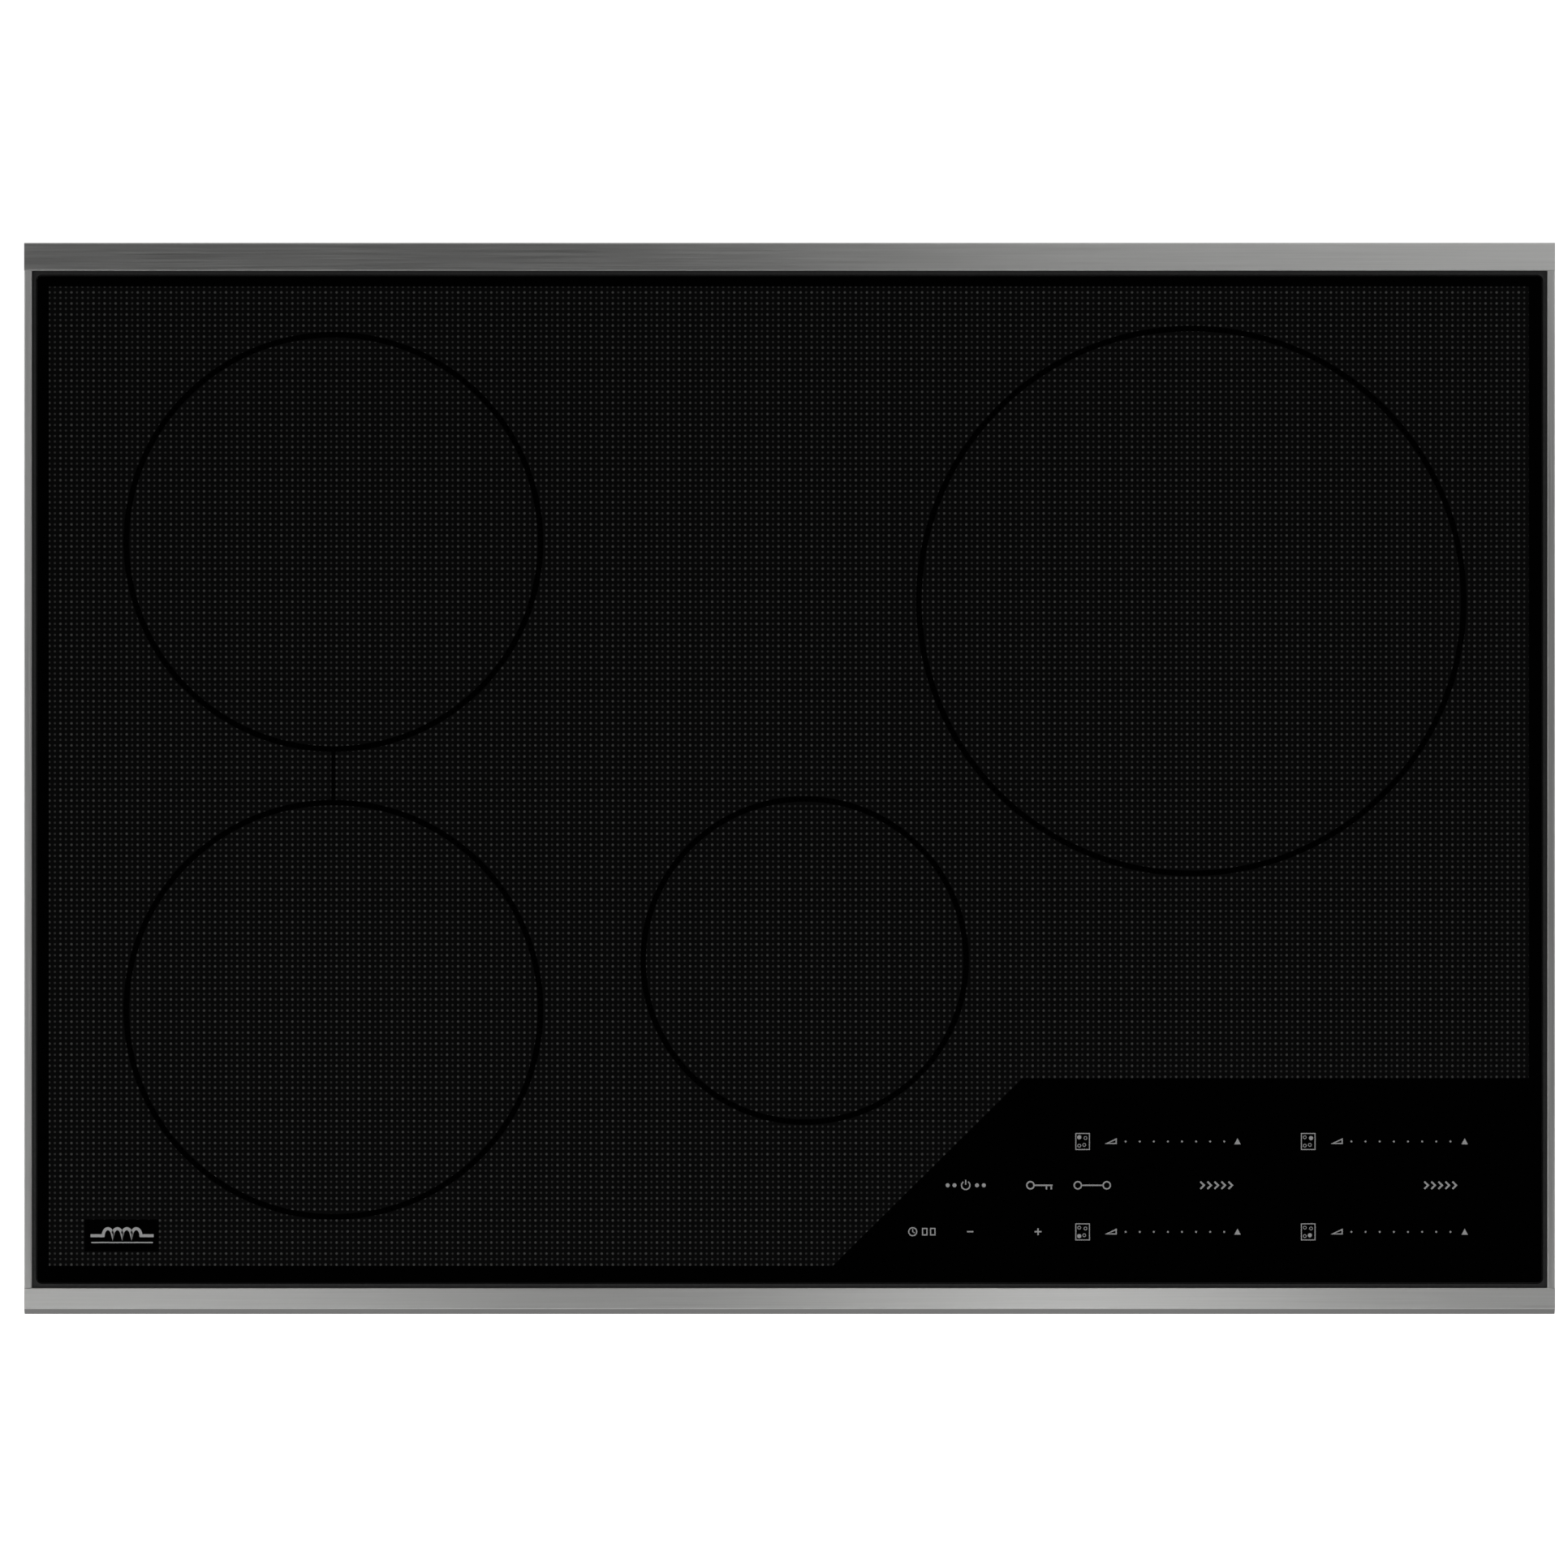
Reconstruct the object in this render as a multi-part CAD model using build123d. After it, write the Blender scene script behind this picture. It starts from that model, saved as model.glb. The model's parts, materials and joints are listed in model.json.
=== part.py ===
"""A built-in four-zone induction cooktop, as an assembly of its separate pieces.

Units are millimetres. The origin is under the middle of the whole object, at the level of its base.
+X is the user's right, +Y points to the back of the worktop and +Z is up.
A steel box hangs in the worktop's cut-out. A stainless trim rests on the worktop and carries the
glass. Inside are four sprung induction coils on a tray, two power boards and two blowers.
"""

from build123d import *
import math
import os

os.makedirs("parts", exist_ok=True)

# Overall size and the levels of the stack, from the base up.
WIDTH = 762.0
DEPTH = 533.4
HEIGHT = 101.6
WORKTOP_Z = 91.6
GASKET_T = 1.5
LEDGE_Z = WORKTOP_Z + GASKET_T
LEDGE_T = 1.5
GLASS_T = 4.0
GLASS_DROP = 1.2
GLASS_TOP = HEIGHT - GLASS_DROP
GLASS_BOTTOM = GLASS_TOP - GLASS_T
TRIM_WALL = 1.2
TRIM_LIFT = 0.5

# Trim: how wide each side looks from above.
REAR_BAR = 13.9
FRONT_BAR = 13.1
SIDE_RAIL = 3.8
TRIM_BACK = DEPTH / 2 - REAR_BAR
TRIM_FRONT = -DEPTH / 2 + FRONT_BAR
TRIM_SIDE = WIDTH / 2 - SIDE_RAIL
EDGE_GAP = 2.0
SKIRT_T = 1.2
SKIRT_BOTTOM = 80.0
SCREW_Z = 86.0
TRIM_HOLE_R = 1.75

# The steel box in the cut-out.
BOX_X = 363.5
BOX_Y = 244.5
SHEET = 1.0
FLOOR_Z = 1.5
BOX_CORNER = 6.0
SHEET_HOLE_R = 1.8
FLOOR_TOP = FLOOR_Z + SHEET

# Cooking zones: name, centre x, centre y, winding's outer radius.
ZONES = [
    ("left_rear", -227.1, 117.8, 99.0),
    ("left_front", -227.1, -115.1, 99.0),
    ("centre_front", 7.5, -90.6, 76.5),
    ("right_rear", 200.0, 88.4, 131.0),
]
COIL_INNER_R = 27.0
LITZ = 3.4
LITZ_PITCH = 4.4
FELT_T = 2.0
COIL_GAP = 0.05
CARRIER_T = 2.0
CARRIER_RIM = 3.0
FERRITE = (15.0, 4.6)
POCKET_WALL = 1.5
SENSOR_HOLE_R = 14.0
FELT_Z = GLASS_BOTTOM - COIL_GAP - FELT_T
LITZ_Z = FELT_Z - LITZ
CARRIER_Z = LITZ_Z - CARRIER_T
FERRITE_Z = CARRIER_Z - FERRITE[1]
BOSS_BOTTOM = FERRITE_Z - 3.0

# The coil tray, and the springs that push each coil up against the glass.
TRAY_Z = 60.0
TRAY_T = 1.5
TRAY_TOP = TRAY_Z + TRAY_T
TRAY_HALF = (350.0, 231.0)
SPRING_R = 5.0
SPRING_WIRE_R = 0.45
SPRING_TURNS = 6
SPRING_CUP_R = 7.0
SPRING_CUP_DEPTH = 2.5
WIRE_HOLE_R = 6.0

# Boards under the tray, as centre x, centre y, size x, size y.
BOARD_T = 1.6
BOARD_Z = FLOOR_TOP + 8.0
POWER_BOARDS = [(-245.0, 70.0, 190.0, 255.0), (240.0, 70.0, 190.0, 255.0)]
FILTER_BOARD = (0.0, 60.0, 186.0, 180.0)
HEATSINK = (56.0, 210.0, 34.0)
FINS = 9
FIN_T = 2.0

# Blowers.
BLOWERS = [("left", -245.0, -140.0), ("right", 240.0, -140.0)]
BLOWER_H = 34.0
BLOWER_WALL = 2.0
SCROLL_R = 60.0
IMPELLER_R = 50.0
IMPELLER_HUB_R = 20.0
INLET_R = 42.0
SHAFT_R = 1.5
BEARING_CLEARANCE = 0.05
BLADES = 32

# Clamps that pull the cooktop down on the worktop.
BRACKET_T = 2.0
CLAMP_X = 373.5
ARM_Z = 34.0
ARM_T = 3.0
BOSS_H = 2.0
SCREW_R = 3.0
TIP_R = 2.0
THREAD_CLEARANCE = 0.06
PAD_R = 5.5
PAD_Z = 38.0
PAD_T = 6.0
HEAD_Z = 2.0
HEAD_T = 7.0
HEAD_R = 6.5

# The supply inlet in the back wall.
INLET_X = 0.0
CONDUIT_R = 14.0
COVER = (120.0, 52.0, 1.2)
COVER_Z = 38.0
WINDOW = (96.0, 38.0)

# Touch control board under the front right of the glass.
TOUCH_CENTRE = (206.0, -196.0)
TOUCH_SIZE = (290.0, 58.0)
TOUCH_TRAY_DROP = 4.0
TOUCH_COLUMNS = 14
TOUCH_PITCH = 19.5

# The ribbon cable's edges across X, and the Y of its way down through the tray.
RIBBON_X = (62.0, 84.0)
RIBBON_Y = -157.0
RIBBON_T = 1.0

PARTS = {}


def keep(name, shape):
    """Stores one node's solids under its name."""
    PARTS[name] = shape


def block(x0, x1, y0, y1, z0, z1):
    """A box between two corners."""
    return Pos((x0 + x1) / 2, (y0 + y1) / 2, (z0 + z1) / 2) * Box(x1 - x0, y1 - y0, z1 - z0)


def disc(x, y, z, radius, height):
    """An upright cylinder that stands on z."""
    return Pos(x, y, z + height / 2) * Cylinder(radius, height)


def plate(x0, x1, y0, y1, z0, z1, corner):
    """A box with rounded upright corners."""
    face = Pos((x0 + x1) / 2, (y0 + y1) / 2, z0) * RectangleRounded(x1 - x0, y1 - y0, corner)
    return extrude(face, z1 - z0)


def screw_along(direction, x, y, z, shank_r=1.7, shank=5.0, head_r=3.4, head=1.6):
    """A pan-head screw whose head sits outside (x, y, z) and whose shank runs against direction."""
    cap = disc(0, 0, 0, head_r, head)
    body = disc(0, 0, -shank, shank_r, shank) + fillet(cap.edges().sort_by(Axis.Z)[-1], 0.8)
    recess = block(-2.2, 2.2, -0.45, 0.45, head - 0.9, head + 1)
    recess += block(-0.45, 0.45, -2.2, 2.2, head - 0.9, head + 1)
    plane = Plane(origin=(x, y, z), z_dir=direction)
    return plane.location * (body - recess)


def slot_upright(x, z, width, height, y0, y1):
    """A cutter for an upright slot with round ends through a wall that faces Y."""
    face = Plane.XZ * Pos(x, z) * SlotOverall(height, width, rotation=90)
    return extrude(face.moved(Location((0, y1, 0))), y1 - y0)


# ---------------------------------------------------------------- glass, seal, trim and gasket

GLASS_X = TRIM_SIDE - EDGE_GAP
GLASS_Y0 = TRIM_FRONT + EDGE_GAP
GLASS_Y1 = TRIM_BACK - EDGE_GAP


def make_glass():
    """A 4 mm glass-ceramic sheet with a ground edge."""
    glass = plate(-GLASS_X, GLASS_X, GLASS_Y0, GLASS_Y1, GLASS_BOTTOM, GLASS_TOP, 3.0)
    glass = chamfer(glass.faces().sort_by(Axis.Z)[-1].edges(), 0.7)
    keep("glass_top", glass)


def make_glass_seal():
    """Silicone that beds the glass on the ledge and fills the gap round its edge."""
    outer = plate(-TRIM_SIDE, TRIM_SIDE, TRIM_FRONT, TRIM_BACK, LEDGE_Z + LEDGE_T, GLASS_TOP - 0.5, 0.6)
    glass_room = plate(-GLASS_X, GLASS_X, GLASS_Y0, GLASS_Y1, GLASS_BOTTOM, HEIGHT, 3.0)
    opening = plate(-GLASS_X + 8, GLASS_X - 8, GLASS_Y0 + 6, GLASS_Y1 - 6, 0, HEIGHT, 4.0)
    keep("glass_seal", outer - [glass_room, opening])


def bar_section(edge, out, chamfer_out):
    """The hollow bar's solid section and its hollow, for the back (out = 1) or the front (out = -1)."""
    outer = out * DEPTH / 2
    solid = Polyline(
        (outer, WORKTOP_Z + TRIM_LIFT),
        (outer, HEIGHT - chamfer_out),
        (outer - out * chamfer_out, HEIGHT),
        (edge, HEIGHT),
        (edge, LEDGE_Z),
        (outer - out * TRIM_WALL, LEDGE_Z),
        (outer - out * TRIM_WALL, WORKTOP_Z + TRIM_LIFT),
        close=True,
    )
    y_low, y_high = sorted((edge + out * TRIM_WALL, outer - out * TRIM_WALL))
    hollow_top = HEIGHT - max(TRIM_WALL, chamfer_out)
    return make_face(solid), (y_low, y_high, LEDGE_Z + LEDGE_T, hollow_top)


def make_bar(name, edge, out, chamfer_out):
    """A front or back trim bar: a hollow bar, the ledge under the glass, and a skirt in the box."""
    half = WIDTH / 2
    section, (y_low, y_high, z_low, z_high) = bar_section(edge, out, chamfer_out)
    bar = extrude(Plane.YZ.offset(-half) * section, WIDTH)
    upper = HEIGHT - chamfer_out - 0.1
    bar = fillet(bar.edges().filter_by(Axis.X).filter_by(lambda e: e.center().Z > upper), 0.35)
    bar -= block(-half + TRIM_WALL, half - TRIM_WALL, y_low, y_high, z_low, z_high)
    skirt_out = out * (BOX_Y - SHEET)
    skirt_in = skirt_out - out * SKIRT_T
    ledge_x = BOX_X - SHEET - SKIRT_T - 0.3
    low, high = sorted((skirt_in, edge))
    bar += block(-ledge_x, ledge_x, low, high, LEDGE_Z, LEDGE_Z + LEDGE_T)
    low, high = sorted((skirt_in, skirt_out))
    for side in (-1, 1):
        for middle in (110.0, 250.0):
            x = side * middle
            bar += block(x - 45, x + 45, low, high, SKIRT_BOTTOM, LEDGE_Z)
            bar -= Pos(x, skirt_out, SCREW_Z) * Rot(90, 0, 0) * Cylinder(TRIM_HOLE_R, 10)
    keep(name, bar)


def make_side_rail(name, side):
    """A narrow side rail with its ledge and skirts, between the front and back bars."""
    inner, outer = side * TRIM_SIDE, side * WIDTH / 2
    low, high = sorted((inner, outer))
    rail = block(low, high, TRIM_FRONT, TRIM_BACK, WORKTOP_Z + TRIM_LIFT, HEIGHT)
    rail = fillet(rail.edges().filter_by(Axis.Y).sort_by(Axis.Z)[-2:], 0.6)
    skirt_out = side * (BOX_X - SHEET)
    skirt_in = skirt_out - side * SKIRT_T
    low, high = sorted((skirt_in, inner))
    rail += block(low, high, TRIM_FRONT, TRIM_BACK, LEDGE_Z, LEDGE_Z + LEDGE_T)
    low, high = sorted((skirt_in, skirt_out))
    for y in (-150.0, 150.0):
        rail += block(low, high, y - 40, y + 40, SKIRT_BOTTOM, LEDGE_Z)
        rail -= Pos(skirt_out, y, SCREW_Z) * Rot(0, 90, 0) * Cylinder(TRIM_HOLE_R, 10)
    keep(name, rail)


def trim_screw_spots():
    """Where the trim's screws go through the box's walls, as (outward direction, x, y, z)."""
    spots = [((side, 0, 0), side * BOX_X, y, SCREW_Z) for side in (-1, 1) for y in (-150.0, 150.0)]
    for out in (-1, 1):
        spots += [((0, out, 0), x, out * BOX_Y, SCREW_Z) for x in (-250.0, -110.0, 110.0, 250.0)]
    return spots


def make_wall_screws():
    """The same screw holds the trim, the clamp brackets and the supply cover to the box's walls."""
    screws = [screw_along(*spot) for spot in trim_screw_spots()]
    for side in (-1, 1):
        for y, z in clamp_screw_spots():
            screws.append(screw_along((side, 0, 0), side * (BOX_X + BRACKET_T), y, z))
    for x, z in cover_screw_spots():
        screws.append(screw_along((0, 1, 0), x, BOX_Y + COVER[2], z))
    keep("wall_screws", Compound(screws))


def make_gasket():
    """A foam strip under the trim that seals it to the worktop."""
    outer = plate(-376.8, 376.8, -265.0, 265.0, WORKTOP_Z, LEDGE_Z, 3.0)
    inner = plate(-368.5, 368.5, -249.5, 249.5, WORKTOP_Z - 1, LEDGE_Z + 1, 3.0)
    keep("worktop_gasket", outer - inner)


# ---------------------------------------------------------------- box, inlet and terminals


def grille_slots(x, y, radius, z0, z1):
    """Cutters for the parallel intake slots that fill a circle."""
    pitch, width = 8.0, 4.4
    rows = int(radius // pitch)
    cutters = []
    for row in range(-rows, rows + 1):
        half = math.sqrt(radius**2 - (row * pitch) ** 2)
        if half < 8:
            continue
        for side in (-1, 1):
            middle = side * (half + 2.0) / 2
            face = Pos(x + middle, y + row * pitch, z0) * SlotOverall(half - 2.0, width)
            cutters.append(extrude(face, z1 - z0))
    return cutters


def wall_vents():
    """Cutters for the upright outlet slots in the front and side walls."""
    cutters = []
    for middle in (-245.0, 0.0, 240.0):
        for k in range(-9, 10):
            cutters.append(slot_upright(middle + k * 9.0, 44.0, 3.6, 40.0, -BOX_Y - 2, -BOX_Y + 3))
    for side in (-1, 1):
        for k in range(12):
            y = 60.0 + k * 11.0
            face = Plane.YZ * Pos(y, 44.0) * SlotOverall(40.0, 3.6, rotation=90)
            cutters.append(extrude(face.moved(Location((side * BOX_X - 2.5, 0, 0))), 5))
    return cutters


BEADS = [(-330.0, 330.0, -226.0), (-330.0, 330.0, 226.0), (-150.0, 150.0, -40.0), (-150.0, 150.0, -120.0)]
CROSS_BEADS = [(-60.0, 205.0, -345.0), (-60.0, 205.0, 345.0), (-15.0, 190.0, -118.0), (-15.0, 190.0, 118.0)]
BEAD_W = 12.0
STANDOFF_SPOTS = [(x, y) for x in (-330.0, -125.0, 125.0, 330.0) for y in (-205.0, 209.0)]


def bead(x0, x1, y0, y1):
    """An embossed bead: the bump under the floor and the groove in it."""
    centre = Pos((x0 + x1) / 2, (y0 + y1) / 2, 0)
    radius = BEAD_W / 2 - 0.1
    bump = extrude(centre * RectangleRounded(x1 - x0, y1 - y0, radius), FLOOR_Z)
    inside = RectangleRounded(x1 - x0 - 2 * SHEET, y1 - y0 - 2 * SHEET, radius - SHEET)
    return bump, extrude(centre * Pos(0, 0, SHEET) * inside, FLOOR_TOP)


def wall_holes():
    """Cutters for every hole in the box's walls."""
    window_x, window_z = WINDOW[0] / 2, WINDOW[1] / 2
    low, high = COVER_Z - window_z, COVER_Z + window_z
    cuts = wall_vents()
    cuts.append(block(INLET_X - window_x, INLET_X + window_x, BOX_Y - 3, BOX_Y + 1, low, high))
    for direction, x, y, z in trim_screw_spots():
        cuts.append(Plane(origin=(x, y, z), z_dir=direction).location * Cylinder(2.0, 6))
    for x, z in cover_screw_spots():
        cuts.append(Pos(x, BOX_Y, z) * Rot(90, 0, 0) * Cylinder(SHEET_HOLE_R, 6))
    for side in (-1, 1):
        for y, z in clamp_screw_spots():
            cuts.append(Pos(side * BOX_X, y, z) * Rot(0, 90, 0) * Cylinder(SHEET_HOLE_R, 6))
    return cuts


def floor_beads():
    """The bumps and the grooves of all the floor's beads."""
    half = BEAD_W / 2
    spans = [(x0, x1, y - half, y + half) for x0, x1, y in BEADS]
    spans += [(x - half, x + half, y0, y1) for y0, y1, x in CROSS_BEADS]
    pairs = [bead(*span) for span in spans]
    return [bump for bump, _ in pairs], [groove for _, groove in pairs]


def make_burner_box():
    """The steel box: a floor pan with beads and intake grilles, and four spot-welded wall panels."""
    outer = plate(-BOX_X, BOX_X, -BOX_Y, BOX_Y, FLOOR_Z, LEDGE_Z, BOX_CORNER)
    outer = fillet(outer.faces().sort_by(Axis.Z)[0].edges(), SHEET)
    x, y = BOX_X - SHEET, BOX_Y - SHEET
    room = plate(-x, x, -y, y, FLOOR_TOP, LEDGE_Z + 1, BOX_CORNER - SHEET)
    bumps, grooves = floor_beads()
    floor_cuts = list(grooves)
    for _, x, y in BLOWERS:
        floor_cuts += grille_slots(x, y, INLET_R - 1, -1, FLOOR_TOP + 1)
    floor_cuts += [disc(x, y, -1, 1.9, 5) for x, y in STANDOFF_SPOTS]

    floor = (outer & block(-BOX_X, BOX_X, -BOX_Y, BOX_Y, 0, FLOOR_TOP)) + bumps - floor_cuts
    walls = outer - [room, block(-BOX_X, BOX_X, -BOX_Y, BOX_Y, 0, FLOOR_TOP)] - wall_holes()
    inner_y = BOX_Y - BOX_CORNER
    panels = []
    for side in (-1, 1):
        low, high = sorted((side * BOX_Y, side * inner_y))
        panels.append(walls & block(-BOX_X, BOX_X, low, high, 0, HEIGHT))
        low, high = sorted((side * BOX_X, 0))
        panels.append(walls & block(low, high, -inner_y, inner_y, 0, HEIGHT))
    keep("burner_box", Compound([floor] + panels))


def cover_screw_spots():
    """The supply cover's screws on the back wall, as (x, z)."""
    dx, dz = COVER[0] / 2 - 6, COVER[1] / 2 - 6
    return [(INLET_X + i * dx, COVER_Z + k * dz) for i in (-1, 1) for k in (-1, 1)]


def make_supply_inlet():
    """The cover plate with the conduit's hole, the terminal block and its screws."""
    y0 = BOX_Y
    wide, tall, thick = COVER[0] / 2, COVER[1] / 2, COVER[2]
    cover = block(INLET_X - wide, INLET_X + wide, y0, y0 + thick, COVER_Z - tall, COVER_Z + tall)
    cover = fillet(cover.edges().filter_by(Axis.Y), 3.0)
    cover -= Pos(INLET_X, y0, COVER_Z) * Rot(90, 0, 0) * Cylinder(CONDUIT_R, 10)
    cover -= [Pos(x, y0, z) * Rot(90, 0, 0) * Cylinder(SHEET_HOLE_R, 10) for x, z in cover_screw_spots()]
    keep("supply_cover", cover)
    make_terminals()


def make_terminals():
    """The four-pole terminal block, its screws and the earth stud."""
    poles, pitch = 4, 15.0
    x0, base = INLET_X - poles * pitch / 2, FLOOR_TOP
    block_body = block(x0, x0 + poles * pitch, 196.0, 222.0, base, base + 22)
    block_body = chamfer(block_body.edges().filter_by(Axis.X).sort_by(Axis.Z)[-2:], 3.0)
    terminals = []
    for k in range(poles):
        x = x0 + (k + 0.5) * pitch
        block_body -= disc(x, 209.0, base + 10, 4.2, 20)
        block_body -= Pos(x, 219.0, base + 7) * Rot(90, 0, 0) * Cylinder(3.6, 14)
        screw = disc(x, 209.0, base + 10, 3.8, 7.5)
        terminals.append(screw - block(x - 4, x + 4, 208.5, 209.5, base + 16, base + 20))
    keep("terminal_block", block_body)
    earth_x = INLET_X + 48
    nut = extrude(Pos(earth_x, 209.0, base + 3) * RegularPolygon(4.6, 6), 4)
    keep("terminal_screws", Compound(terminals + [disc(earth_x, 209.0, base, 2.5, 12) + nut]))


# ---------------------------------------------------------------- coil tray and its supports


def zone_spring_spots(x, y, outer_r):
    """The three springs under a coil, spread between its ferrites."""
    ring = outer_r * 0.72
    step = 360 / ferrite_count(outer_r)
    spots = []
    for k in range(3):
        bars_before = round((90 + 120 * k) / step)
        angle = math.radians((bars_before + 0.5) * step)
        spots.append((x + ring * math.cos(angle), y + ring * math.sin(angle)))
    return spots


def ferrite_count(outer_r):
    """How many ferrite bars a coil has."""
    return 8 if outer_r < 120 else 12


def make_tray():
    """An aluminium tray that carries the coils, with a turned-down lip and holes for wires."""
    hx, hy = TRAY_HALF
    tray = plate(-hx, hx, -hy, hy, TRAY_Z, TRAY_TOP, 5.0)
    lip = plate(-hx, hx, -hy, hy, TRAY_Z - 8, TRAY_Z, 5.0)
    lip -= plate(-hx + TRAY_T, hx - TRAY_T, -hy + TRAY_T, hy - TRAY_T, TRAY_Z - 9, TRAY_Z + 1, 3.5)
    cuts = []
    for _, x, y, outer_r in ZONES:
        for spot in PolarLocations(outer_r * 0.38, 6, start_angle=30):
            cuts.append(Pos(x, y, TRAY_Z) * spot * Cylinder(WIRE_HOLE_R, 5))
        cuts.append(disc(x, y, TRAY_Z - 1, 5.0, 4))
    cuts.append(plate(*RIBBON_X, RIBBON_Y - 6, RIBBON_Y + 6, TRAY_Z - 1, TRAY_TOP + 1, 2.0))
    for x, y in STANDOFF_SPOTS:
        cuts.append(disc(x, y, TRAY_Z - 1, 2.2, 4))
    keep("coil_tray", (tray + lip) - cuts)


def make_standoffs():
    """Hexagonal posts from the box's floor to the tray, with screws above and below."""
    posts, screws = [], []
    for x, y in STANDOFF_SPOTS:
        post = extrude(Pos(x, y, FLOOR_TOP) * RegularPolygon(5.0, 6), TRAY_Z - FLOOR_TOP)
        post -= [disc(x, y, FLOOR_TOP, 1.7, 8), disc(x, y, TRAY_Z - 8, 1.7, 8)]
        posts.append(post)
        screws.append(screw_along((0, 0, 1), x, y, TRAY_TOP, shank=6.0))
        screws.append(screw_along((0, 0, -1), x, y, FLOOR_Z, shank=5.0, head=1.2))
    keep("tray_posts", Compound(posts))
    keep("tray_screws", Compound(screws))


# ---------------------------------------------------------------- coils


def litz_spiral(outer_r):
    """A flat spiral of half turns, whose centres alternate by half a pitch."""
    turns = int((outer_r - COIL_INNER_R - LITZ / 2) / LITZ_PITCH)
    arcs = []
    shift = LITZ_PITCH / 2
    for k in range(turns):
        r = COIL_INNER_R + LITZ / 2 + k * LITZ_PITCH
        arcs.append(ThreePointArc((r, 0), (0, r), (-r, 0)))
        wide = r + shift
        arcs.append(ThreePointArc((-r, 0), (shift, -wide), (shift + wide, 0)))
    path = Wire(arcs)
    start = COIL_INNER_R + LITZ / 2
    section = Plane(origin=(start, 0, 0), z_dir=(0, 1, 0)) * RectangleRounded(LITZ, LITZ, 0.9)
    return Pos(-shift / 2, 0, LITZ_Z + LITZ / 2) * sweep(section, path=path)


def ferrite_spots(outer_r):
    """The ferrite bars under one coil, as (angle, inner end, outer end)."""
    count = ferrite_count(outer_r)
    return [(360 / count * k, COIL_INNER_R + 5, outer_r - 5) for k in range(count)]


def make_carrier(outer_r):
    """A coil's moulded carrier: disc, rim, hub, ferrite pockets and the cups for its springs."""
    rim_r = outer_r + CARRIER_RIM
    wide, tall = FERRITE
    carrier = disc(0, 0, CARRIER_Z, rim_r, CARRIER_T)
    carrier += disc(0, 0, LITZ_Z, rim_r, LITZ) - disc(0, 0, LITZ_Z, outer_r + 1.4, LITZ)
    carrier += disc(0, 0, LITZ_Z, COIL_INNER_R - 3, LITZ)
    carrier += disc(0, 0, CARRIER_Z - 2, rim_r, 2) - disc(0, 0, CARRIER_Z - 2, rim_r - 2.5, 2)
    carrier += disc(0, 0, FERRITE_Z, COIL_INNER_R + 3, tall)
    cuts = [disc(0, 0, 0, SENSOR_HOLE_R, 200)]
    half = wide / 2
    for angle, start, end in ferrite_spots(outer_r):
        turn = Rot(0, 0, angle)
        wall = POCKET_WALL
        carrier += turn * block(start - wall, end + wall, -half - wall, half + wall, FERRITE_Z, CARRIER_Z)
        cuts.append(turn * block(start, end, -half, half, FERRITE_Z - 1, CARRIER_Z))
    for x, y in zone_spring_spots(0, 0, outer_r):
        carrier += disc(x, y, BOSS_BOTTOM, SPRING_CUP_R, CARRIER_Z - BOSS_BOTTOM)
        cuts.append(disc(x, y, BOSS_BOTTOM, SPRING_R + SPRING_WIRE_R + 0.4, SPRING_CUP_DEPTH))
    return carrier - cuts


def make_springs(x, y, outer_r):
    """The three compression springs between the tray and a coil's carrier."""
    height = BOSS_BOTTOM + SPRING_CUP_DEPTH - TRAY_TOP - 2 * SPRING_WIRE_R - 2 * COIL_GAP
    helix = Helix(pitch=height / SPRING_TURNS, height=height, radius=SPRING_R)
    section = Plane(origin=helix @ 0, z_dir=helix % 0) * Circle(SPRING_WIRE_R)
    spring = Pos(0, 0, TRAY_TOP + SPRING_WIRE_R + COIL_GAP) * sweep(section, path=helix, is_frenet=True)
    return [Pos(sx, sy, 0) * spring for sx, sy in zone_spring_spots(x, y, outer_r)]


def make_coil(name, x, y, outer_r):
    """One coil: plastic carrier, litz winding, ferrites beneath, felt above and its springs."""
    place = Pos(x, y, 0)
    half = FERRITE[0] / 2
    bars = []
    for angle, start, end in ferrite_spots(outer_r):
        bars.append(place * Rot(0, 0, angle) * block(start, end, -half, half, FERRITE_Z, CARRIER_Z))
    felt = disc(0, 0, FELT_Z, outer_r + CARRIER_RIM, FELT_T) - disc(0, 0, 0, SENSOR_HOLE_R, 200)
    keep(f"{name}_coil_carrier", place * make_carrier(outer_r))
    keep(f"{name}_coil_winding", place * litz_spiral(outer_r))
    keep(f"{name}_coil_ferrites", Compound(bars))
    keep(f"{name}_coil_felt", place * felt)
    keep(f"{name}_coil_springs", Compound(make_springs(x, y, outer_r)))


def make_sensors():
    """The temperature sensors, one in the middle of each coil, standing on the tray under the glass."""
    sensors = []
    for _, x, y, _ in ZONES:
        holder = disc(x, y, TRAY_TOP, 11.0, 3) + disc(x, y, TRAY_TOP, 7.0, GLASS_BOTTOM - TRAY_TOP - 3)
        holder -= disc(x, y, TRAY_TOP, 3.0, 18)
        tip = disc(x, y, GLASS_BOTTOM - 3, 9.0, 3 - COIL_GAP)
        sensors.append(holder + tip)
    keep("temperature_sensors", Compound(sensors))


# ---------------------------------------------------------------- boards


def board(spec, z=BOARD_Z):
    """A bare board with its mounting holes."""
    x, y, sx, sy = spec
    pcb = plate(x - sx / 2, x + sx / 2, y - sy / 2, y + sy / 2, z, z + BOARD_T, 3.0)
    return pcb - [disc(hx, hy, z - 1, 2.0, 4) for hx, hy in board_corners(spec)]


def board_corners(spec):
    """The board's four support points."""
    x, y, sx, sy = spec
    return [(x + i * (sx / 2 - 7), y + k * (sy / 2 - 7)) for i in (-1, 1) for k in (-1, 1)]


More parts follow.
